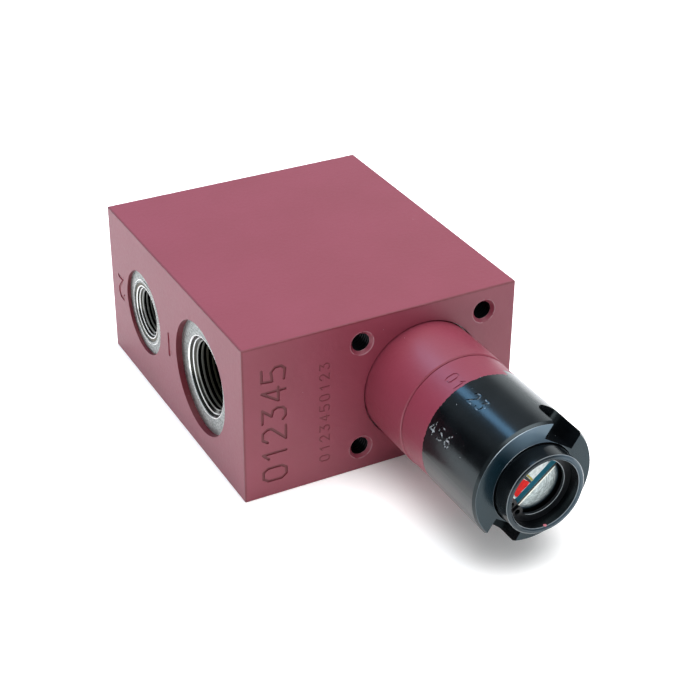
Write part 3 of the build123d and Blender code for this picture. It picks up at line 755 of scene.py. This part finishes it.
# painted shadow: a dark film laid on the screw's face where shade falls
film(
    "painted_shadow_film",
    [on_face(*p) for p in ((-0.7, 1.3), (-0.8, 3.4), (-1.2, 6.6), (-0.3, 7.0), (0.1, 3.8), (0.0, 1.25))],
    0.06,
    lacquer_look("painted_shadow_film", (0.010, 0.010, 0.008), (0.028, 0.026, 0.020), 0.25),
)
film(
    "lacquer_yellow",
    [on_face(*p) for p in ((0.15, 1.3), (0.25, 3.9), (-0.1, 7.0), (0.6, 7.2), (0.9, 4.0), (0.8, 1.25))],
    0.06,
    lacquer_look("lacquer_yellow", (0.20, 0.16, 0.02), (0.50, 0.42, 0.07), 0.3),
)
# painted reflection: a white film laid on the screw's face where the steel reflects light
film(
    "painted_reflection_film",
    [
        on_face(*p)
        for p in ((1.3, 1.3), (1.4, 4.0), (1.2, 7.4), (4.2, 6.8), (6.8, 4.6), (8.0, 1.5), (4.6, 1.25))
    ],
    0.07,
    lacquer_look("painted_reflection_film", (0.62, 0.68, 0.66), (0.82, 0.86, 0.84), 0.28),
)


def spring():
    """Round-wire compression spring with ground ends, standing for the CAD spring."""
    low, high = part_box("compensator_spring")
    mean_r, wire_r, pitch = 7.6, 0.9, 3.05
    start, length = -6.2, 24.3
    turns, per_turn, sides = length / pitch, 48, 14
    bm = bmesh.new()
    rings = []
    steps = round(turns * per_turn)
    for i in range(steps + 1):
        swing = 2 * math.pi * turns * i / steps
        station = start + pitch * turns * i / steps
        out = Vector((math.cos(swing), 0, math.sin(swing)))
        along = Vector((-out.z * mean_r, pitch / (2 * math.pi), out.x * mean_r)).normalized()
        side = out.cross(along)
        centre = cartridge_point(mean_r * out.x, station, mean_r * out.z)
        ring = []
        for k in range(sides):
            turn = 2 * math.pi * k / sides
            point = centre + (out * math.cos(turn) + side * math.sin(turn)) * wire_r * MM
            point.y = min(max(point.y, low.y), high.y)
            ring.append(bm.verts.new(point))
        rings.append(ring)
    for first, second in zip(rings, rings[1:]):
        for k in range(sides):
            n = (k + 1) % sides
            bm.faces.new((first[k], first[n], second[n], second[k]))
    bm.faces.new(rings[0])
    bm.faces.new(reversed(rings[-1]))
    material = turned_steel_look("spring_wire", (0.20, 0.20, 0.21), (0.09, 0.09, 0.10), 1.4, 0.3)
    made = add_mesh("spring_coil", bm, material)
    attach(made, "housing")
    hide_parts("compensator_spring")
    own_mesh(made)


spring()


# --------------------------------------------------------- floor, light, camera
def floor():
    """Wide flat sweep under the block."""
    bm = bmesh.new()
    bmesh.ops.create_grid(bm, x_segments=24, y_segments=24, size=4.0)
    for vert in bm.verts:
        vert.co.z = -0.00002
    made = add_mesh("studio_floor", bm, floor_look())


floor()


def studio_world():
    """Grey room with a bright ceiling, a bright side at the back right and a dark one at the back left."""
    world = bpy.data.worlds.new("studio")
    bpy.context.scene.world = world
    world.use_nodes = True
    tree = world.node_tree
    background = tree.nodes["Background"]
    coordinates = tree.nodes.new("ShaderNodeTexCoord")

    def patch(direction, start, end, colour):
        """Colour that fades in around a direction, between two cosines."""
        dot = tree.nodes.new("ShaderNodeVectorMath")
        dot.operation = "DOT_PRODUCT"
        tree.links.new(coordinates.outputs["Generated"], dot.inputs[0])
        dot.inputs[1].default_value = Vector(direction).normalized()
        shape = tree.nodes.new("ShaderNodeMapRange")
        shape.interpolation_type = "SMOOTHSTEP"
        tree.links.new(dot.outputs["Value"], shape.inputs[0])
        shape.inputs[1].default_value = start
        shape.inputs[2].default_value = end
        tint = tree.nodes.new("ShaderNodeMix")
        tint.data_type = "RGBA"
        tree.links.new(shape.outputs[0], tint.inputs[0])
        tint.inputs[7].default_value = (*colour, 1.0)
        return tint

    last = None
    for direction, start, end, colour in (
        ((-0.63, 0.756, 0.14), 0.89, 0.985, (0.02, 0.02, 0.022)),
        ((0.68, 0.70, 0.04), 0.87, 0.99, (1.16, 1.24, 1.28)),
        ((0.10, 0.0, 0.995), 0.72, 1.0, (5.0, 5.05, 5.2)),
    ):
        tint = patch(direction, start, end, colour)
        if last is None:
            tint.inputs[6].default_value = (0.37, 0.40, 0.43, 1.0)
        else:
            tree.links.new(last.outputs[2], tint.inputs[6])
        last = tint
    tree.links.new(last.outputs[2], background.inputs["Color"])
    background.inputs["Strength"].default_value = 1.0


studio_world()


def softbox(name, source, distance, size, power, colour, target=(0.0, -0.06, 0.03)):
    """Rectangular soft light at a distance in metres along a direction, aimed at the target."""
    data = bpy.data.lights.new(name, "AREA")
    data.shape = "RECTANGLE"
    data.size, data.size_y = size
    data.energy = power
    data.color = colour
    made = bpy.data.objects.new(name, data)
    direction = Vector(source).normalized()
    made.location = Vector(target) + direction * distance
    made.rotation_mode = "QUATERNION"
    made.rotation_quaternion = direction.to_track_quat("Z", "Y")
    bpy.context.scene.collection.objects.link(made)


softbox("blue_strip", (-0.08, 0.76, 0.65), 1.6, (0.25, 1.2), 6.6, (0.30, 0.62, 1.0))


def camera():
    """Camera at the photograph's place, from its position and its own axes."""
    data = bpy.data.cameras.new("camera")
    data.sensor_width = 36.0
    data.lens = 84.707
    data.clip_start, data.clip_end = 0.02, 20.0
    made = bpy.data.objects.new("camera", data)
    right = Vector((0.8827, -0.46988, 0.00726))
    up = Vector((0.23571, 0.45606, 0.85816))
    back = Vector((-0.40655, -0.75579, 0.51332))
    made.matrix_world = Matrix.Translation(Vector((-236.91, -476.96, 332.96)) * MM) @ Matrix(
        (right, up, back)
    ).transposed().to_4x4()
    bpy.context.scene.collection.objects.link(made)
    bpy.context.scene.camera = made


camera()
bpy.context.scene.view_settings.view_transform = "Standard"
